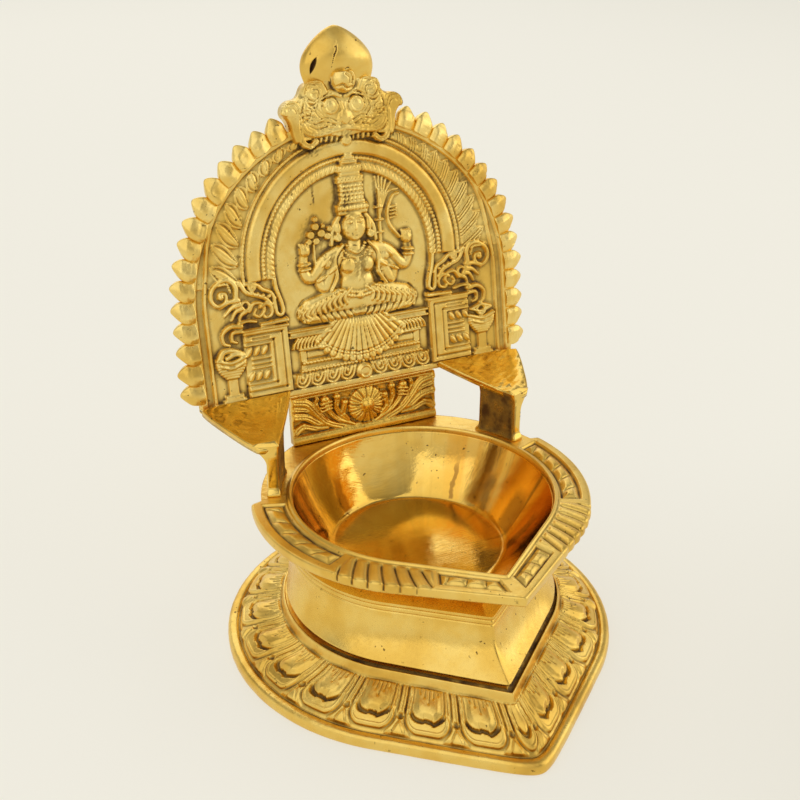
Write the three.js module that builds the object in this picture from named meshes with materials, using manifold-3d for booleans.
// Brass oil lamp with a lotus foot, a teardrop bowl and an arched back plate.
// Millimetres, +Z up, spout towards -Y. The origin is the middle of the lamp's bounding box, on the ground.
import * as THREE from 'three';
import { mergeVertices } from 'three/addons/utils/BufferGeometryUtils.js';
import Module from 'manifold-3d';

const wasm = await Module();
wasm.setup();

// Clearances, and how far a cutting solid runs past what it cuts
const seatGap = 0.3;
const pinGap = 0.3;
const overrun = 90;

// Teardrop rings: radius of the round back, reach of the tip, and how far its centre lies behind the axis
const footEdge = { radius: 76.8, reach: 99.5, back: 0 };
const footSeam = { radius: 53.6, reach: 71.4, back: -1.7 };
const waistTop = { radius: 49.5, reach: 63, back: 4.5 };
const rimEdge = { radius: 65, reach: 79, back: 0 };
const opening = { radius: 49.7, reach: 63.4, back: -1.7 };
const bowlFloor = { radius: 34.5, reach: 44, back: 2 };
const footTipSoftness = 0.05;
const ringSegments = 72;
const fanSteps = 720;
const onAxis = { radius: 0, reach: 0, back: 0 };

// Lotus foot
const foot = {
  edgeHeight: 4.9,
  edgeBevel: 1.3,
  grooveHeight: 4.3,
  petalTopHeight: 15.4,
  collarFoot: 1,
  collarBottom: 17.2,
  seamHeight: 21.2,
  wall: 4,
  ledgeHeight: 16.5,
  ledgeWidth: 4.6,
  boreInset: 7.6,
  petals: 21,
  petalFirst: 17,
  petalRise: 1.4,
  petalTopShare: 0.9,
  grooveShare: 0.18,
  underShare: 0.7,
  underHeight: 7.4,
  boreSegments: 48,
};

// Petal rows from root to top: how far in and how high a row lies between the two, then the
// rise of its points at the gap between petals, the lobe's edge, the body's edge and the body
const petalRowShares = [
  [0, 0, 0, 0, 0, 0],
  [0.06, 0.13, 0.9, 0.1, 0.8, 0.8],
  [0.23, 0.31, 0.3, 0.2, 0.8, 0.8],
  [0.31, 0.4, -0.6, 0.7, -1, -1],
  [0.4, 0.49, 0, 0.7, -0.3, 1.4],
  [0.66, 0.71, 0.2, 0.4, -0.2, 1.2],
  [1, 1, 0, 0, 0, 0],
];

// Petal columns: what each one follows, and how far round the pitch it lies from the petal's middle
const petalColumnShares = [
  ['gap', -0.5],
  ['lobe', -0.395],
  ['side', -0.285],
  ['body', -0.15],
  ['body', 0.15],
  ['side', 0.285],
  ['lobe', 0.395],
];
const flat = { gap: 0, lobe: 0, side: 0, body: 0 };

// Waist drum
const waist = {
  top: 41.5,
  wall: 3.4,
  grooveFirst: 37.9,
  grooveSecond: 39.8,
  grooveDepth: 0.6,
  grooveWidth: 0.8,
  floorThickness: 3,
  footWall: 6.8,
  spigotDepth: 3,
  spigotWidth: 3.4,
  flareSteps: 5,
};

// Oil bowl
const bowl = {
  rimTop: 63.4,
  rimThickness: 4.1,
  rimBevel: 0.7,
  lipRise: 0.9,
  lipWidth: 1.8,
  floorTop: 37,
  floorThickness: 3.4,
  wall: 3.2,
  wallBelly: 1.1,
  wallSteps: 4,
  rearRadius: 61,
  shoulderLineY: 16.5,
};

// Back plate, in its own leaning frame: across, up from its lower edge, and out of its face
const plate = {
  lean: Math.atan(0.194),
  lowerEdgeY: 51.8,
  lowerEdgeZ: 89,
  centreHeight: 34.2,
  radius: 69.5,
  thickness: 4.2,
  skirt: 3.4,
  borderWidth: 3.4,
  ridgeRadius: 63.6,
  ridgeWidth: 1.5,
  ridgeRise: 0.9,
  fieldDepth: 1.2,
  archCentreHeight: 50,
  archInnerRadius: 37.6,
  archOuterRadius: 44.4,
  archRise: 1.4,
  nicheDepth: 1.9,
  curveSegments: 20,
};
const bead = {
  pathRadius: 71.6,
  firstAngle: 22.7,
  spacing: 8.12,
  width: 8,
  length: 10.8,
  depth: 6.4,
};
const pillar = { inner: 31.4, width: 18, bottom: 0.8, top: 27, rise: 0.9, frame: 2.4, sink: 0.9 };
const makara = { reach: 43.5, height: 37, width: 19, length: 16, depth: 4.6 };
const volute = { reach: 55.4, height: 42, radius: 4.6, rise: 0.5 };
const lampStand = {
  reach: 55.4,
  baseTop: 1.8,
  baseWidth: 9,
  baseRise: 0.5,
  stemTop: 10.4,
  stemWidth: 4,
  stemRise: 0.1,
  cupHeight: 14.6,
  cupWidth: 10.8,
  cupLength: 9,
  cupDepth: 4,
};
const pedestal = {
  width: 50,
  bottom: 4.4,
  height: 16,
  rise: 1.2,
  upperRail: 3.3,
  lowerRail: -1.1,
  railRise: 2,
  railHeight: 2.2,
};
const figure = {
  depth: 2.9,
  middle: 0.9,
  kneeReach: 26.5,
  lapHeight: 30,
  lapThickness: 9.6,
  waistHeight: 37,
  waistWidth: 15.6,
  waistLength: 9,
  chestHeight: 45.6,
  chestLength: 16.6,
  chestWidth: 14.6,
  neckWidth: 5.6,
  headHeight: 61.4,
  headWidth: 10.4,
  headLength: 13,
  crownTop: 86,
  crownBottom: 66.4,
  crownRadius: 7,
  crownTopRadius: 3,
  shoulderReach: 8,
  shoulderHeight: 51,
  elbowReach: 21.4,
  elbowHeight: 44,
  upperHandReach: 21.4,
  upperHandHeight: 55,
  lowerElbowReach: 13.6,
  lowerElbowHeight: 38.4,
  lowerHandReach: 12,
  lowerHandHeight: 48,
  armRadius: 2.2,
  skirtRadius: 20,
  skirtCentre: 28,
  skirtSpread: 72,
  skirtRise: 1.9,
  skirtSteps: 12,
};

// Crest and finial, in the plate's frame
const crest = {
  overlap: 10.7,
  height: 19.6,
  halfWidth: 19,
  hornDrop: 5.4,
  hornReach: 20.8,
  hornRadius: 3.7,
  rise: 3.2,
  eyeDrop: 7,
  eyeSpread: 6,
  eyeRadius: 3.4,
  jewelRise: 0.8,
  jewelWidth: 5.6,
  jewelLength: 11,
  noseDrop: 11.1,
  noseRadius: 2.8,
};
const finial = {
  height: 24.5,
  halfWidth: 15.2,
  halfDepth: 7.2,
  seatDepth: 3.6,
  offset: -1.5,
  steps: 9,
  waistShare: 0.86,
  fullness: 1.7,
  bluntness: 0.8,
};

// Apron panel
const apron = {
  halfWidth: 32.4,
  thickness: 4,
  lean: Math.atan(0.09),
  frontY: 50.1,
  moulding: 1,
  mouldingHeight: 2.6,
  flowerRadius: 6.6,
  flowerRise: 1.3,
  flowerPetals: 8,
  flowerHeightShare: 0.6,
  scallopShare: 0.18,
  scallopSteps: 6,
  buttonRadius: 2.3,
  buttonRise: 2.6,
};

// Brackets: plan points of the shelf, right-hand side
const bracket = {
  backInnerX: 33,
  backOuterX: 70.6,
  frontInnerX: 50.4,
  frontOuterX: 55.2,
  frontY: 18.2,
  outerBulgeX: 66.5,
  outerBulgeY: 37,
  shelfBackZ: 89.3,
  shelfFrontZ: 84,
  shelfThickness: 3.2,
  scoopDepth: 1.3,
  scoopInset: 3.2,
  scoopCornerInset: 5.1,
  scoopFrontInset: 9.6,
  scoopNeckInset: 1.1,
  legInnerRadius: 53.9,
  legThickness: 4.2,
  legFrontAngle: 19,
  legBackAngle: 36.5,
  legTop: 83.4,
};

// Fixings
const stud = { radius: 3, bottom: 3 };
const bridge = { reach: 46, width: 14, thickness: 4, boreGap: 0.4 };
const washer = { radius: 8, thickness: 1.6 };
const nut = { acrossFlats: 10, sides: 6, height: 5 };
const legPin = { radius: 1.1, sink: 2.6, rise: 4, angle: 27 };
const apronPin = { radius: 0.9, sink: 2.6, rise: 4, spread: 22 };
const shelfPin = { radius: 0.9, reach: 4, x: 58, drop: 1.6 };
const finialPin = { radius: 1.2, sink: 5, rise: 6 };

const crestBottom = plate.centreHeight + plate.radius - crest.overlap;
const crestTop = crestBottom + crest.height;
const degrees = Math.PI / 180;

// Colours and surfaces
function brass(colour, roughness) {
  return new THREE.MeshStandardMaterial({ color: colour, roughness, metalness: 1 });
}

const polishedBrass = () => brass(0xd9a441, 0.18);
const satinBrass = () => brass(0xcfa045, 0.32);
const agedBrass = () => brass(0x9a6a24, 0.45);

// Solids and geometries
function toSolid(geometry) {
  const bare = geometry.clone();
  bare.deleteAttribute('normal');
  bare.deleteAttribute('uv');
  const merged = mergeVertices(bare.index ? bare : mergeVertices(bare));
  const whole = [];
  const index = merged.index.array;
  for (let i = 0; i < index.length; i += 3) {
    const [a, b, c] = [index[i], index[i + 1], index[i + 2]];
    if (a !== b && b !== c && c !== a) {
      whole.push(a, b, c);
    }
  }
  const mesh = new wasm.Mesh({
    numProp: 3,
    vertProperties: new Float32Array(merged.attributes.position.array),
    triVerts: new Uint32Array(whole),
  });
  return new wasm.Manifold(mesh);
}

function toGeometry(solid) {
  const mesh = solid.getMesh();
  const geometry = new THREE.BufferGeometry();
  geometry.setAttribute('position', new THREE.BufferAttribute(new Float32Array(mesh.vertProperties), 3));
  geometry.setIndex(new THREE.BufferAttribute(new Uint32Array(mesh.triVerts), 1));
  return geometry;
}

function joined(geometries) {
  return geometries.map(toSolid).reduce((whole, next) => whole.add(next));
}

function piece(name, solid, material) {
  const mesh = new THREE.Mesh(toGeometry(solid), material);
  mesh.name = name;
  return mesh;
}

// Distance from a teardrop ring's centre to its outline, by the angle from the tip
function teardropRadius(ring, angle, softness = 0) {
  const touch = Math.acos(Math.min(1, ring.radius / ring.reach));
  const turn = Math.abs(Math.atan2(Math.sin(angle), Math.cos(angle)));
  const soft = Math.min(Math.hypot(turn, softness), Math.max(turn, touch));
  return soft < touch ? ring.radius / Math.cos(touch - soft) : ring.radius;
}

function ringBetween(from, to, share) {
  return {
    radius: THREE.MathUtils.lerp(from.radius, to.radius, share),
    reach: THREE.MathUtils.lerp(from.reach, to.reach, share),
    back: THREE.MathUtils.lerp(from.back, to.back, share),
  };
}

function ringInset(ring, inset) {
  const tipInset = (inset * ring.reach) / ring.radius;
  return { radius: ring.radius - inset, reach: ring.reach - tipInset, back: ring.back };
}

function at(ring, height, softness = 0, lifts = flat) {
  return { ...ring, height, softness, lifts };
}

function ringPoint(ring, turn) {
  const radius = teardropRadius(ring, turn);
  return new THREE.Vector2(radius * Math.sin(turn), ring.back - radius * Math.cos(turn));
}

// Way from a ring's tip to each of the turns in a fine fan over its half
function waysRound(ring) {
  const ways = [0];
  for (let i = 1; i <= fanSteps; i += 1) {
    const before = ringPoint(ring, ((i - 1) / fanSteps) * Math.PI);
    ways.push(ways[i - 1] + before.distanceTo(ringPoint(ring, (i / fanSteps) * Math.PI)));
  }
  return ways;
}

// Columns that follow the petals round the foot: each has a turn from the tip and a kind
function petalColumns(ring) {
  const ways = waysRound(ring);
  const perSide = (foot.petals - 1) / 2;
  const pitch = (ways[fanSteps] - foot.petalFirst) / perSide;
  const half = [];
  for (let i = 0; i <= perSide; i += 1) {
    petalColumnShares.forEach(([kind, share]) => {
      const way = foot.petalFirst + pitch * (i + share);
      if (way < ways[fanSteps]) {
        const next = ways.findIndex((reached) => reached > way);
        const between = (way - ways[next - 1]) / (ways[next] - ways[next - 1]);
        half.push({ turn: ((next - 1 + between) / fanSteps) * Math.PI, kind });
      }
    });
  }
  const other = half.map(({ turn, kind }) => ({ turn: 2 * Math.PI - turn, kind })).reverse();
  return [{ turn: 0, kind: 'lobe' }, ...half, ...other];
}

function evenColumns(count) {
  return Array.from({ length: count }, (_, i) => ({ turn: (i / count) * 2 * Math.PI, kind: 'gap' }));
}

// A lathe whose rings are teardrops; the stations start and end on the axis, or close on themselves
function teardropLathe(stations, columns) {
  const profile = stations.map((s) => new THREE.Vector2(s.radius, s.height));
  const geometry = new THREE.LatheGeometry(profile, columns.length);
  const position = geometry.attributes.position;
  for (let i = 0; i < position.count; i += 1) {
    const station = stations[i % stations.length];
    const { turn, kind } = columns[Math.floor(i / stations.length) % columns.length];
    const radius = station.radius ? teardropRadius(station, turn, station.softness) : 0;
    const x = radius * Math.sin(turn);
    const y = station.back - radius * Math.cos(turn);
    position.setXYZ(i, x, y, station.height + foot.petalRise * station.lifts[kind]);
  }
  return geometry;
}

function cylinder(radius, from, to, segments = 24) {
  const length = from.distanceTo(to);
  const geometry = new THREE.CylinderGeometry(radius, radius, length, segments);
  const turn = new THREE.Quaternion();
  turn.setFromUnitVectors(new THREE.Vector3(0, 1, 0), to.clone().sub(from).normalize());
  geometry.applyQuaternion(turn);
  const middle = from.clone().add(to).multiplyScalar(0.5);
  geometry.translate(middle.x, middle.y, middle.z);
  return geometry;
}

function upright(radius, x, y, bottom, top, segments = 12) {
  return cylinder(radius, new THREE.Vector3(x, y, bottom), new THREE.Vector3(x, y, top), segments);
}

function ball(width, height, depth, x, y, z, around = 12, down = 6) {
  const geometry = new THREE.SphereGeometry(1, around, down);
  geometry.scale(width / 2, height / 2, depth / 2);
  geometry.translate(x, y, z);
  return geometry;
}

function slab(shape, bottom, top, curveSegments = 12) {
  const settings = { depth: top - bottom, bevelEnabled: false, curveSegments };
  const geometry = new THREE.ExtrudeGeometry(shape, settings);
  geometry.translate(0, 0, bottom);
  return geometry;
}

function rectangle(left, right, bottom, top) {
  const corners = [[left, bottom], [right, bottom], [right, top], [left, top]];
  return new THREE.Shape(corners.map(([x, y]) => new THREE.Vector2(x, y)));
}

// Lotus foot: hollow casting with a ring of petals
function lotusFoot() {
  const span = footEdge.radius - footSeam.radius;
  const inset = (length) => ringBetween(footEdge, footSeam, length / span);
  const soft = footTipSoftness;
  const grooveInset = span * foot.grooveShare;
  const petalInset = grooveInset + foot.edgeBevel;
  const petalBottom = foot.grooveHeight + foot.edgeBevel;
  const petals = petalRowShares.map(([inwardShare, heightShare, gap, lobe, side, body]) => {
    const inward = THREE.MathUtils.lerp(petalInset, span * foot.petalTopShare, inwardShare);
    const height = THREE.MathUtils.lerp(petalBottom, foot.petalTopHeight, heightShare);
    return at(inset(inward), height, soft * (1 - inwardShare), { gap, lobe, side, body });
  });
  const outer = [
    at(onAxis, 0),
    at(inset(foot.edgeBevel), 0, soft),
    at(footEdge, foot.edgeBevel, soft),
    at(footEdge, foot.edgeHeight - foot.edgeBevel, soft),
    at(inset(foot.edgeBevel), foot.edgeHeight, soft),
    at(inset(grooveInset), foot.grooveHeight, soft),
    ...petals,
    at(ringInset(footSeam, -foot.collarFoot), foot.collarBottom),
    at(footSeam, foot.seamHeight),
    at(onAxis, foot.seamHeight),
  ];
  const bore = ringInset(footSeam, foot.boreInset);
  const ledge = ringInset(bore, -foot.ledgeWidth);
  const inner = [
    at(onAxis, -overrun),
    at(inset(foot.edgeBevel + foot.wall), -overrun, soft),
    at(inset(foot.edgeBevel + foot.wall), foot.edgeBevel, soft),
    at(inset(span * foot.underShare), foot.underHeight),
    at(ledge, foot.petalTopHeight - foot.wall),
    at(ledge, foot.ledgeHeight),
    at(bore, foot.ledgeHeight),
    at(bore, overrun),
    at(onAxis, overrun),
  ];
  const outside = toSolid(teardropLathe(outer, petalColumns(inset(petalInset))));
  const inside = toSolid(teardropLathe(inner, evenColumns(foot.boreSegments)));
  return piece('lotus_foot', outside.subtract(inside), satinBrass());
}

const waistBottom = foot.seamHeight + seatGap;

// Outline of the waist's outside at a height, flaring towards its foot
function waistRing(height) {
  const share = (height - waistBottom) / (waist.top - waistBottom);
  return ringBetween(waistTop, footSeam, (1 - share) ** 2);
}

// Inside of the bowl at a height, between its floor and its opening
function bowlRing(height) {
  const share = (height - bowl.floorTop) / (bowl.rimTop - bowl.floorTop);
  const ring = ringBetween(bowlFloor, opening, share);
  return ringInset(ring, -4 * bowl.wallBelly * share * (1 - share));
}

// Waist drum: hollow, with a spigot in the foot and a coned seat round the bowl
function waistDrum() {
  const groove = (height) => [
    at(waistRing(height - waist.grooveWidth / 2), height - waist.grooveWidth / 2),
    at(ringInset(waistRing(height), waist.grooveDepth), height),
    at(waistRing(height + waist.grooveWidth / 2), height + waist.grooveWidth / 2),
  ];
  const flare = [];
  for (let i = 0; i <= waist.flareSteps; i += 1) {
    const last = waist.grooveFirst - waist.grooveWidth;
    const height = THREE.MathUtils.lerp(waistBottom, last, i / waist.flareSteps);
    flare.push(at(waistRing(height), height));
  }
  const lowerRing = ringInset(footSeam, foot.boreInset + seatGap);
  const spigotInner = ringInset(lowerRing, waist.spigotWidth);
  const floorTop = waistBottom + waist.floorThickness;
  const ceiling = waist.top - waist.wall;
  const seat = (height) => ringInset(bowlRing(height), -(bowl.wall + seatGap));
  const stations = [
    at(lowerRing, waistBottom - waist.spigotDepth),
    at(lowerRing, waistBottom),
    ...flare,
    ...groove(waist.grooveFirst),
    ...groove(waist.grooveSecond),
    at(waistRing(waist.top), waist.top),
    at(seat(waist.top), waist.top),
    at(seat(ceiling), ceiling),
    at(ringInset(waistRing(ceiling), waist.wall), ceiling),
    at(ringInset(waistRing(floorTop), waist.footWall), floorTop),
    at(spigotInner, floorTop),
    at(spigotInner, waistBottom - waist.spigotDepth),
  ];
  stations.push(stations[0]);
  return piece('waist_drum', toSolid(teardropLathe(stations, evenColumns(ringSegments))), polishedBrass());
}

// The rim is wide in front of the bracket legs and narrower behind them
function rimCutter() {
  const area = rectangle(-overrun, overrun, bowl.shoulderLineY, overrun);
  const top = bowl.rimTop + overrun;
  const behind = toSolid(slab(area, bowl.floorTop, top));
  const keep = toSolid(upright(bowl.rearRadius, 0, 0, 0, top + overrun, ringSegments));
  return behind.subtract(keep);
}

// Oil bowl: teardrop cup and its flat rim
function oilBowl(holes) {
  const underside = bowl.rimTop - bowl.rimThickness;
  const inside = [];
  for (let i = 0; i <= bowl.wallSteps; i += 1) {
    const height = THREE.MathUtils.lerp(bowl.floorTop, bowl.rimTop, i / bowl.wallSteps);
    inside.push(at(bowlRing(height), height));
  }
  const halfway = (underside + waist.top) / 2;
  const seatHeights = [underside, halfway, waist.top, waist.top - waist.wall];
  const outside = seatHeights.map((height) => at(ringInset(bowlRing(height), -bowl.wall), height));
  const lipTop = bowl.rimTop + bowl.lipRise;
  const lipMiddle = ringInset(opening, -bowl.lipWidth / 2);
  const lipOuter = ringInset(opening, -bowl.lipWidth);
  const centre = { radius: 0, reach: 0, back: bowlFloor.back };
  const floorBottom = bowl.floorTop - bowl.floorThickness;
  const stations = [
    at(centre, bowl.floorTop),
    ...inside,
    at(lipMiddle, lipTop),
    at(lipOuter, bowl.rimTop),
    at(ringInset(rimEdge, bowl.rimBevel), bowl.rimTop),
    at(rimEdge, bowl.rimTop - bowl.rimBevel),
    at(rimEdge, underside + bowl.rimBevel),
    at(ringInset(rimEdge, bowl.rimBevel), underside),
    ...outside,
    at(bowlFloor, floorBottom),
    at(centre, floorBottom),
  ];
  const geometry = teardropLathe(stations.reverse(), evenColumns(ringSegments));
  let solid = toSolid(geometry).subtract(rimCutter());
  for (const hole of holes) {
    solid = solid.subtract(toSolid(hole));
  }
  return solid;
}

// Horseshoe outline of the back plate, at a radius, down to a height
function horseshoe(radius, bottom, centreHeight) {
  const shape = new THREE.Shape();
  shape.moveTo(radius, bottom);
  shape.lineTo(radius, centreHeight);
  shape.absarc(0, centreHeight, radius, 0, Math.PI, false);
  shape.lineTo(-radius, bottom);
  shape.lineTo(radius, bottom);
  return shape;
}

function horseshoeBand(outer, inner, bottom, centreHeight, low, high) {
  const whole = toSolid(slab(horseshoe(outer, bottom, centreHeight), low, high, plate.curveSegments));
  const hollow = horseshoe(inner, bottom - overrun, centreHeight);
  return whole.subtract(toSolid(slab(hollow, low - overrun, high + overrun, plate.curveSegments)));
}

// Bud-shaped beads along the plate's edge
function beadPlace(index) {
  const arc = (index * bead.spacing) / bead.pathRadius + bead.firstAngle * degrees;
  if (arc < Math.PI / 2) {
    const x = bead.pathRadius * Math.sin(arc);
    return { x, y: plate.centreHeight + bead.pathRadius * Math.cos(arc), turn: arc };
  }
  const drop = (arc - Math.PI / 2) * bead.pathRadius;
  return { x: bead.pathRadius, y: plate.centreHeight - drop, turn: Math.PI / 2 };
}

function beads() {
  const arcLength = (Math.PI / 2 - bead.firstAngle * degrees) * bead.pathRadius;
  const count = Math.floor((arcLength + plate.centreHeight) / bead.spacing) + 1;
  const all = [];
  for (let i = 0; i < count; i += 1) {
    const place = beadPlace(i);
    for (const side of [-1, 1]) {
      const geometry = new THREE.SphereGeometry(1, 8, 5);
      geometry.scale(bead.width / 2, bead.length / 2, bead.depth / 2);
      geometry.rotateZ(-side * place.turn);
      geometry.translate(side * place.x, place.y, -plate.thickness / 2);
      all.push(geometry);
    }
  }
  return joined(all);
}

// Pillars with a sunk panel
function pillars() {
  const parts = [];
  for (const side of [-1, 1]) {
    const left = side * (pillar.inner + pillar.width / 2) - pillar.width / 2;
    const right = left + pillar.width;
    const outline = rectangle(left, right, pillar.bottom, pillar.top);
    const block = toSolid(slab(outline, -plate.fieldDepth, pillar.rise));
    const frame = pillar.frame;
    const panel = rectangle(left + frame, right - frame, pillar.bottom + frame, pillar.top - frame);
    parts.push(block.subtract(toSolid(slab(panel, pillar.rise - pillar.sink, overrun))));
  }
  return parts.reduce((whole, next) => whole.add(next));
}

// Scrolled beasts above the pillars, and the small lamps that stand beside them
function sideOrnaments() {
  const level = -plate.fieldDepth;
  const low = level - plate.ridgeWidth / 2;
  const parts = [];
  for (const side of [-1, 1]) {
    const beastX = side * makara.reach;
    parts.push(ball(makara.width, makara.length, makara.depth, beastX, makara.height, level));
    parts.push(upright(volute.radius, side * volute.reach, volute.height, low, volute.rise));
    const lampX = side * lampStand.reach;
    const post = (width, top, rise) => {
      return slab(rectangle(lampX - width / 2, lampX + width / 2, pillar.bottom, top), low, rise);
    };
    parts.push(post(lampStand.baseWidth, lampStand.baseTop, lampStand.baseRise));
    parts.push(post(lampStand.stemWidth, lampStand.stemTop, lampStand.stemRise));
    const { cupWidth, cupLength, cupDepth, cupHeight } = lampStand;
    parts.push(ball(cupWidth, cupLength, cupDepth, lampX, cupHeight, level));
  }
  return joined(parts);
}

// Pedestal under the figure, between an upper and a lower rail
function pedestalBlock() {
  const half = pedestal.width / 2;
  const top = pedestal.bottom + pedestal.height;
  const low = -plate.nicheDepth - plate.fieldDepth;
  const block = slab(rectangle(-half, half, pedestal.bottom, top), low, pedestal.rise - plate.nicheDepth);
  const reach = pillar.inner - seatGap;
  const rail = (bottom, rise) => {
    return slab(rectangle(-reach, reach, bottom, bottom + pedestal.railHeight), low, rise);
  };
  const lower = rail(pedestal.lowerRail, pedestal.railRise);
  const upper = rail(pedestal.upperRail, pedestal.railRise - pedestal.rise);
  return joined([block, lower, upper]);
}

// Seated four-armed figure with a tall crown
function seatedFigure() {
  const level = -plate.nicheDepth;
  const thickness = 2 * figure.depth;
  const { middle } = figure;
  const part = (width, length, height) => ball(width, length, thickness, middle, height, level);
  const neckLength = figure.headHeight - figure.chestHeight;
  const neck = new THREE.CylinderGeometry(figure.neckWidth / 2, figure.neckWidth / 2, neckLength, 8);
  neck.translate(middle, figure.chestHeight + neckLength / 2, level);
  const crownLength = figure.crownTop - figure.crownBottom;
  const crown = new THREE.CylinderGeometry(figure.crownTopRadius, figure.crownRadius, crownLength, 10);
  crown.scale(1, 1, figure.depth / figure.crownRadius);
  crown.translate(middle, figure.crownBottom + crownLength / 2, level);
  const parts = [
    part(2 * figure.kneeReach, figure.lapThickness, figure.lapHeight),
    part(figure.waistWidth, figure.waistLength, figure.waistHeight),
    part(figure.chestWidth, figure.chestLength, figure.chestHeight),
    part(figure.headWidth, figure.headLength, figure.headHeight),
    neck,
    crown,
    skirtFan(level),
  ];
  for (const side of [-1, 1]) {
    const joint = (reach, height) => new THREE.Vector3(middle + side * reach, height, level);
    const shoulder = joint(figure.shoulderReach, figure.shoulderHeight);
    const elbow = joint(figure.elbowReach, figure.elbowHeight);
    const hand = joint(figure.upperHandReach, figure.upperHandHeight);
    const lowerElbow = joint(figure.lowerElbowReach, figure.lowerElbowHeight);
    const lowerHand = joint(figure.lowerHandReach, figure.lowerHandHeight);
    const upperArm = [[shoulder, elbow], [elbow, hand]];
    const lowerArm = [[shoulder, lowerElbow], [lowerElbow, lowerHand]];
    for (const [from, to] of [...upperArm, ...lowerArm]) {
      parts.push(cylinder(figure.armRadius, from, to, 8));
    }
  }
  return joined(parts);
}

// Skirt that hangs over the seat in a fan
function skirtFan(level) {
  const shape = new THREE.Shape();
  shape.moveTo(0, figure.skirtCentre);
  for (let i = 0; i <= figure.skirtSteps; i += 1) {
    const turn = THREE.MathUtils.lerp(-1, 1, i / figure.skirtSteps) * figure.skirtSpread * degrees;
    const x = figure.skirtRadius * Math.sin(turn);
    shape.lineTo(x, figure.skirtCentre - figure.skirtRadius * Math.cos(turn));
  }
  return slab(shape, level - plate.fieldDepth, level + figure.skirtRise);
}

// Monster-mask crest; the grown copy cuts the finial's seat
function crestSolid(grow = 0) {
  const half = crest.halfWidth - crest.hornRadius + grow;
  const low = -plate.thickness;
  const high = crest.rise + grow;
  const face = rectangle(-half, half, crestBottom - grow, crestTop + grow);
  const parts = [slab(face, low, high)];
  for (const side of [-1, 1]) {
    const hornX = side * crest.hornReach;
    const hornHeight = crestTop - crest.hornDrop;
    parts.push(upright(crest.hornRadius + grow, hornX, hornHeight, low, high, 16));
    const left = hornX - crest.hornRadius / 2;
    parts.push(slab(rectangle(left, left + crest.hornRadius, crestBottom, hornHeight), low, high));
    const size = 2 * crest.eyeRadius + grow;
    parts.push(ball(size, size, size, side * crest.eyeSpread, crestTop - crest.eyeDrop, crest.rise));
  }
  const noseSize = 2 * crest.noseRadius + grow;
  parts.push(ball(noseSize, noseSize, noseSize, 0, crestTop - crest.noseDrop, crest.rise));
  const width = crest.jewelWidth + 2 * grow;
  const length = crest.jewelLength + 2 * grow;
  parts.push(ball(width, length, 2 * high, 0, crestTop + crest.jewelRise, crest.rise));
  return joined(parts);
}

// Back plate with its beads, frames, figure and crest
function backPlate(holes) {
  const curve = plate.curveSegments;
  const edge = horseshoe(plate.radius, -plate.skirt, plate.centreHeight);
  const outline = slab(edge, -plate.thickness, 0, curve);
  const field = horseshoe(plate.radius - plate.borderWidth, pillar.bottom, plate.centreHeight);
  const recess = toSolid(slab(field, -plate.fieldDepth, overrun, curve));
  const niche = horseshoe(plate.archInnerRadius, pedestal.bottom, plate.archCentreHeight);
  const nicheCut = toSolid(slab(niche, -plate.fieldDepth - plate.nicheDepth / 2, overrun, curve));
  const ridge = horseshoeBand(
    plate.ridgeRadius, plate.ridgeRadius - plate.ridgeWidth, pillar.bottom, plate.centreHeight,
    -plate.fieldDepth - plate.ridgeWidth / 2, plate.ridgeRise - plate.fieldDepth,
  );
  const arch = horseshoeBand(
    plate.archOuterRadius, plate.archInnerRadius, pillar.top, plate.archCentreHeight,
    -plate.fieldDepth - plate.ridgeWidth / 2, plate.archRise,
  );
  let solid = toSolid(outline).subtract(recess).subtract(nicheCut);
  solid = solid.add(ridge).add(arch).add(beads()).add(pillars()).add(sideOrnaments());
  const behind = rectangle(-overrun, overrun, -overrun, 2 * overrun);
  const relief = pedestalBlock().add(seatedFigure());
  const flush = relief.subtract(toSolid(slab(behind, -overrun, -plate.thickness)));
  solid = solid.add(flush).add(crestSolid());
  for (const hole of holes) {
    solid = solid.subtract(toSolid(hole));
  }
  return solid;
}

const finialSeat = crestTop + seatGap;

// Leaf finial: a solid pointed leaf, rounded in front and behind
function leafFinial(hole) {
  const { height } = finial;
  const taper = (share) => Math.cos((Math.PI / 2) * share ** finial.fullness) ** finial.bluntness;
  const widthAt = (share) => finial.halfWidth * Math.min(1, finial.waistShare + share) * taper(share);
  const depthAt = (share) => {
    const swell = (1 - share) ** 3;
    return THREE.MathUtils.lerp(finial.halfDepth, finial.seatDepth, swell) * taper(share);
  };
  const profile = [new THREE.Vector2(0, finialSeat)];
  for (let i = 0; i < finial.steps; i += 1) {
    const share = i / finial.steps;
    profile.push(new THREE.Vector2(widthAt(share), finialSeat + height * share));
  }
  profile.push(new THREE.Vector2(0, finialSeat + height));
  const geometry = new THREE.LatheGeometry(profile, 24);
  const position = geometry.attributes.position;
  for (let i = 0; i < position.count; i += 1) {
    const share = (position.getY(i) - finialSeat) / height;
    const flat = share < 1 ? depthAt(share) / widthAt(share) : 0;
    position.setZ(i, position.getZ(i) * flat + finial.offset);
  }
  return toSolid(geometry).subtract(crestSolid(seatGap)).subtract(toSolid(hole));
}

// Disc with a scalloped edge, one scallop a petal
function scallopedDisc(radius, petals) {
  const points = [];
  const count = petals * apron.scallopSteps;
  for (let i = 0; i < count; i += 1) {
    const turn = (i / count) * 2 * Math.PI;
    const notch = 1 - Math.abs(Math.sin((turn * petals) / 2));
    const reach = radius * (1 - apron.scallopShare * notch);
    points.push(new THREE.Vector2(reach * Math.cos(turn), reach * Math.sin(turn)));
  }
  return new THREE.Shape(points);
}

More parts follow.
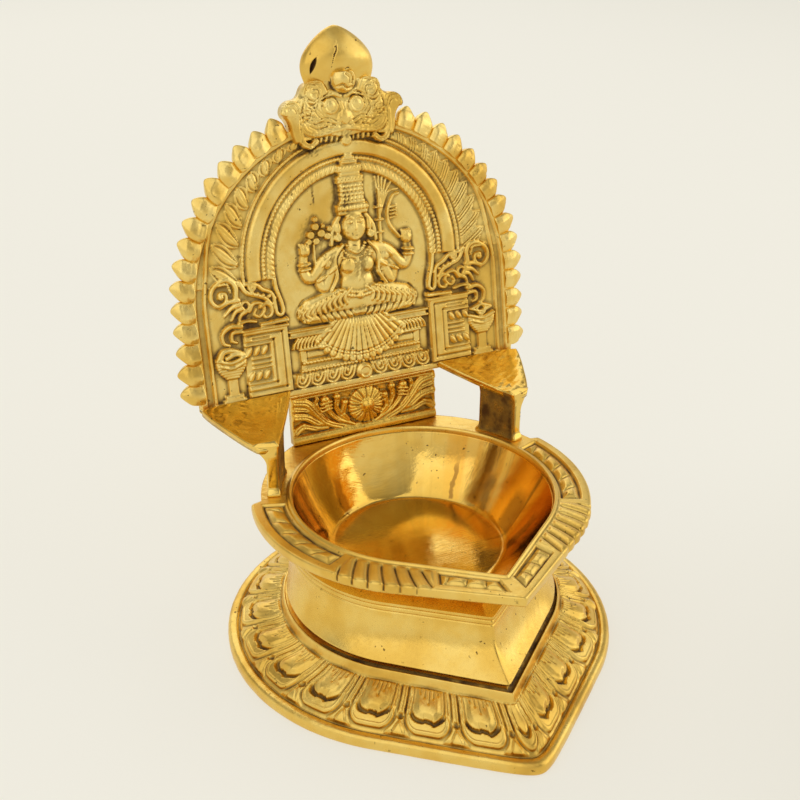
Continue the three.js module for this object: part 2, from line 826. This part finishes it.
// Apron panel: leans back a little and stands on the rim
function apronPanel(holes) {
  const bottom = bowl.rimTop + seatGap;
  const plateDrop = plate.skirt * Math.cos(plate.lean) + plate.thickness * Math.sin(plate.lean);
  const top = plate.lowerEdgeZ - plateDrop - seatGap;
  const leanBy = (height) => (height - bottom) * Math.tan(apron.lean);
  const side = (inset, low, high) => {
    const shape = new THREE.Shape();
    shape.moveTo(apron.frontY + leanBy(low) + inset, low);
    shape.lineTo(apron.frontY + leanBy(low) + apron.thickness, low);
    shape.lineTo(apron.frontY + leanBy(high) + apron.thickness, high);
    shape.lineTo(apron.frontY + leanBy(high) + inset, high);
    const geometry = slab(shape, -apron.halfWidth, apron.halfWidth);
    geometry.applyMatrix4(new THREE.Matrix4().set(0, 0, 1, 0, 1, 0, 0, 0, 0, 1, 0, 0, 0, 0, 0, 1));
    return geometry;
  };
  const lower = side(0, bottom, bottom + apron.mouldingHeight);
  const upper = side(0, top - apron.mouldingHeight / 2, top);
  let solid = joined([side(apron.moulding, bottom, top), lower, upper]);
  const middle = THREE.MathUtils.lerp(bottom, top, apron.flowerHeightShare);
  const face = apron.frontY + leanBy(middle) + apron.moulding;
  const petals = scallopedDisc(apron.flowerRadius, apron.flowerPetals);
  const flower = slab(petals, -apron.flowerRise, apron.flowerRise);
  flower.rotateX(Math.PI / 2);
  flower.translate(0, face, middle);
  const width = 2 * apron.buttonRadius;
  const button = ball(width, 2 * apron.buttonRise, width, 0, face, middle);
  solid = solid.add(toSolid(flower)).add(toSolid(button));
  for (const hole of holes) {
    solid = solid.subtract(toSolid(hole));
  }
  return solid;
}

// Plan of a bracket's shelf, drawn in x and y; the insets shrink it to the plan of its scoop
function shelfPlan(inset, cornerInset, frontInset, neckInset) {
  const backY = plate.lowerEdgeY - plate.skirt * Math.sin(plate.lean) - seatGap - inset;
  const frontY = bracket.frontY + frontInset;
  const shape = new THREE.Shape();
  shape.moveTo(bracket.backInnerX + cornerInset, backY);
  shape.lineTo(bracket.backOuterX - inset, backY);
  const bulgeX = bracket.outerBulgeX - inset;
  shape.quadraticCurveTo(bulgeX, bracket.outerBulgeY, bracket.frontOuterX - neckInset, frontY);
  shape.lineTo(bracket.frontInnerX + neckInset, frontY);
  return shape;
}

// Bracket: scooped shelf and curved leg
function bracketSolid(side, holes) {
  const slope = (bracket.shelfBackZ - bracket.shelfFrontZ) / (plate.lowerEdgeY - bracket.frontY);
  const shear = new THREE.Matrix4();
  shear.set(1, 0, 0, 0, 0, 1, 0, 0, 0, slope, 1, -slope * bracket.frontY, 0, 0, 0, 1);
  const top = bracket.shelfFrontZ;
  const shelf = slab(shelfPlan(0, 0, 0, 0), top - bracket.shelfThickness, top);
  const { scoopInset, scoopCornerInset, scoopFrontInset, scoopNeckInset } = bracket;
  const scoopArea = shelfPlan(scoopInset, scoopCornerInset, scoopFrontInset, scoopNeckInset);
  const scoop = slab(scoopArea, top - bracket.scoopDepth, top + overrun);
  const tray = toSolid(shelf.applyMatrix4(shear)).subtract(toSolid(scoop.applyMatrix4(shear)));
  const start = bracket.legFrontAngle * degrees;
  const end = bracket.legBackAngle * degrees;
  const legShape = new THREE.Shape();
  legShape.absarc(0, 0, bracket.legInnerRadius, start, end, false);
  legShape.absarc(0, 0, bracket.legInnerRadius + bracket.legThickness, end, start, true);
  const leg = slab(legShape, bowl.rimTop + seatGap, bracket.legTop, 6);
  let solid = tray.add(toSolid(leg));
  if (side < 0) {
    solid = solid.mirror([1, 0, 0]);
  }
  for (const hole of holes) {
    solid = solid.subtract(toSolid(hole));
  }
  return solid;
}

// Pins: each is a cylinder, and its hole is the same cylinder with clearance
function legPinAt(side, gap) {
  const radius = bracket.legInnerRadius + bracket.legThickness / 2;
  const x = side * radius * Math.cos(legPin.angle * degrees);
  const y = radius * Math.sin(legPin.angle * degrees);
  const bottom = bowl.rimTop - legPin.sink - gap;
  return upright(legPin.radius + gap, x, y, bottom, bowl.rimTop + legPin.rise + gap);
}

function apronPinAt(side, gap) {
  const lift = (apronPin.rise / 2) * Math.tan(apron.lean);
  const y = apron.frontY + apron.moulding + (apron.thickness - apron.moulding) / 2 + lift;
  const bottom = bowl.rimTop - apronPin.sink - gap;
  const top = bowl.rimTop + apronPin.rise + gap;
  return upright(apronPin.radius + gap, side * apronPin.spread, y, bottom, top);
}

function shelfPinAt(side, gap) {
  const y = plate.lowerEdgeY - shelfPin.reach - gap;
  const far = plate.lowerEdgeY + plate.thickness;
  const z = bracket.shelfBackZ - shelfPin.drop;
  const from = new THREE.Vector3(side * shelfPin.x, y, z);
  const to = new THREE.Vector3(side * shelfPin.x, gap ? far + overrun : far, z);
  return cylinder(shelfPin.radius + gap, from, to, 12);
}

function finialPinAt(gap) {
  const low = new THREE.Vector3(0, finialSeat - finialPin.sink - gap, finial.offset);
  const high = new THREE.Vector3(0, finialSeat + finialPin.rise + gap, finial.offset);
  return cylinder(finialPin.radius + gap, low, high, 12);
}

// Stud, bridge bar, washer and nut that clamp foot, drum and bowl together
const bridgeTop = foot.ledgeHeight - seatGap;
const washerTop = bridgeTop - bridge.thickness - seatGap;
const nutTop = washerTop - washer.thickness - seatGap;
const bowlBottom = bowl.floorTop - bowl.floorThickness;

function fixings() {
  const back = bowlFloor.back;
  const studTop = bowlBottom + bowl.floorThickness / 2;
  const studSolid = toSolid(upright(stud.radius, 0, back, stud.bottom, studTop, 20));
  const bore = toSolid(upright(stud.radius + bridge.boreGap, 0, back, 0, bowlBottom, 20));
  const barPlan = rectangle(-bridge.reach, bridge.reach, back - bridge.width / 2, back + bridge.width / 2);
  const bar = toSolid(slab(barPlan, bridgeTop - bridge.thickness, bridgeTop)).subtract(bore);
  const disc = upright(washer.radius, 0, back, washerTop - washer.thickness, washerTop, 24);
  const nutRadius = nut.acrossFlats / 2 / Math.cos(Math.PI / nut.sides);
  const hexagon = upright(nutRadius, 0, back, nutTop - nut.height, nutTop, nut.sides);
  return [
    piece('centre_stud', studSolid, satinBrass()),
    piece('bridge_bar', bar, agedBrass()),
    piece('clamp_washer', toSolid(disc).subtract(bore), agedBrass()),
    piece('clamp_nut', toSolid(hexagon).subtract(bore), agedBrass()),
  ];
}

function studHole() {
  const top = bowlBottom + bowl.floorThickness / 2 + pinGap;
  return upright(stud.radius + pinGap, 0, bowlFloor.back, 0, top, 20);
}

// The plate's frame leans back: across, up and outwards become the lamp's x, z and -y
const plateGroup = new THREE.Group();
plateGroup.position.set(0, plate.lowerEdgeY, plate.lowerEdgeZ);
plateGroup.rotation.x = Math.PI / 2 - plate.lean;
plateGroup.updateMatrixWorld(true);
const intoPlate = plateGroup.matrixWorld.clone().invert();

const sides = [['left', -1], ['right', 1]];
const rimHoles = [studHole()];
for (const [, side] of sides) {
  rimHoles.push(legPinAt(side, pinGap), apronPinAt(side, pinGap));
}
const plateHoles = sides.map(([, side]) => shelfPinAt(side, pinGap).applyMatrix4(intoPlate));
plateHoles.push(finialPinAt(pinGap));

const lamp = new THREE.Group();
lamp.add(lotusFoot(), waistDrum(), piece('oil_bowl', oilBowl(rimHoles), polishedBrass()));
lamp.add(...fixings());
plateGroup.add(piece('back_plate', backPlate(plateHoles), satinBrass()));
plateGroup.add(piece('leaf_finial', leafFinial(finialPinAt(pinGap)), polishedBrass()));
plateGroup.add(piece('finial_pin', toSolid(finialPinAt(0)), agedBrass()));
lamp.add(plateGroup);
lamp.add(piece('apron_panel', apronPanel(sides.map(([, side]) => apronPinAt(side, pinGap))), agedBrass()));
for (const [name, side] of sides) {
  const holes = [legPinAt(side, pinGap), shelfPinAt(side, pinGap)];
  lamp.add(piece(`${name}_bracket`, bracketSolid(side, holes), polishedBrass()));
  lamp.add(piece(`${name}_leg_pin`, toSolid(legPinAt(side, 0)), agedBrass()));
  lamp.add(piece(`${name}_apron_pin`, toSolid(apronPinAt(side, 0)), agedBrass()));
  lamp.add(piece(`${name}_shelf_rivet`, toSolid(shelfPinAt(side, 0)), agedBrass()));
}

// Centre the lamp over its own footprint
const group = new THREE.Group();
group.add(lamp);
group.updateMatrixWorld(true);
const middle = new THREE.Box3().setFromObject(lamp).getCenter(new THREE.Vector3());
lamp.position.set(-middle.x, -middle.y, 0);

export default group;
